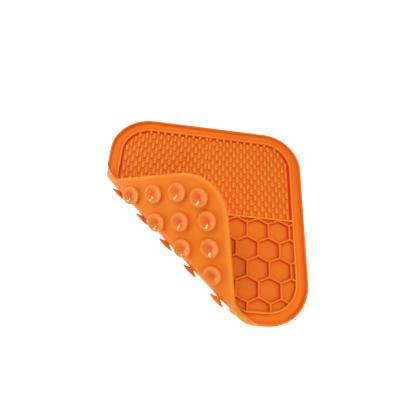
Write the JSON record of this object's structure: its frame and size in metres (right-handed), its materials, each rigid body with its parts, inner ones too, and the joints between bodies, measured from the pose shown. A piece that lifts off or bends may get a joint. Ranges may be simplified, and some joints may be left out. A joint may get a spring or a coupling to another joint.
{
  "type": "lick mat",
  "caption": "Square silicone lick mat with a raised lip, a field of grains and a honeycomb field, suction cups beneath, and one corner that folds over to peel the mat off.",
  "frame": {"origin": "under the middle of the square mat, on the plane that its suction cups stand on", "axes": "+X along the mat to the right, +Y up the mat from the honeycomb to the grains, +Z away from the table"},
  "size_m": [0.2, 0.2, 0.0642],
  "materials": {
    "silicone": "satin"
  },
  "bodies": {
    "panel": {"panel_sheet": "silicone", "panel_lip": "silicone", "panel_rib": "silicone", "panel_divider": "silicone", "panel_zigzags": "silicone", "panel_cell_bars": "silicone", "panel_grains": "silicone", "panel_cups": "silicone"},
    "strip_1": {"strip_1_sheet": "silicone", "strip_1_edges": "silicone", "strip_1_comb": "silicone", "strip_1_grains": "silicone"},
    "strip_2": {"strip_2_sheet": "silicone", "strip_2_edges": "silicone", "strip_2_comb": "silicone", "strip_2_grains": "silicone"},
    "strip_3": {"strip_3_sheet": "silicone", "strip_3_edges": "silicone", "strip_3_comb": "silicone", "strip_3_grains": "silicone", "strip_3_cups": "silicone"},
    "strip_4": {"strip_4_sheet": "silicone", "strip_4_edges": "silicone", "strip_4_comb": "silicone"},
    "strip_5": {"strip_5_sheet": "silicone", "strip_5_edges": "silicone", "strip_5_comb": "silicone"},
    "flap": {"flap_sheet": "silicone", "flap_lip": "silicone", "flap_rib": "silicone", "flap_zigzags": "silicone", "flap_cell_bars": "silicone", "flap_cups": "silicone"}
  },
  "joints": [
    {"name": "fold_1", "type": "hinge", "parent": "panel", "child": "strip_1", "pos_m": [-0.02674, -0.02898, 0.0035], "axis": [-0.7349, 0.6782, 0], "range_deg": [-23, 0]},
    {"name": "fold_2", "type": "hinge", "parent": "strip_1", "child": "strip_2", "pos_m": [-0.02912, -0.03155, 0.00498], "axis": [-0.7349, 0.6782, 0], "range_deg": [-23, 0]},
    {"name": "fold_3", "type": "hinge", "parent": "strip_2", "child": "strip_3", "pos_m": [-0.03091, -0.03349, 0.00772], "axis": [-0.7349, 0.6782, 0], "range_deg": [-23, 0]},
    {"name": "fold_4", "type": "hinge", "parent": "strip_3", "child": "strip_4", "pos_m": [-0.03277, -0.03551, 0.01486], "axis": [-0.7349, 0.6782, 0], "range_deg": [-23, 0]},
    {"name": "fold_5", "type": "hinge", "parent": "strip_4", "child": "strip_5", "pos_m": [-0.03268, -0.03541, 0.01866], "axis": [-0.7349, 0.6782, 0], "range_deg": [-23, 0]},
    {"name": "fold_6", "type": "hinge", "parent": "strip_5", "child": "flap", "pos_m": [-0.03159, -0.03423, 0.02211], "axis": [-0.7349, 0.6782, 0], "range_deg": [-23, 0]}
  ],
  "couplings": [
    {"joint": "fold_2", "follows": "fold_1", "ratio": 1},
    {"joint": "fold_3", "follows": "fold_1", "ratio": 1},
    {"joint": "fold_4", "follows": "fold_1", "ratio": 1},
    {"joint": "fold_5", "follows": "fold_1", "ratio": 1},
    {"joint": "fold_6", "follows": "fold_1", "ratio": 1}
  ]
}
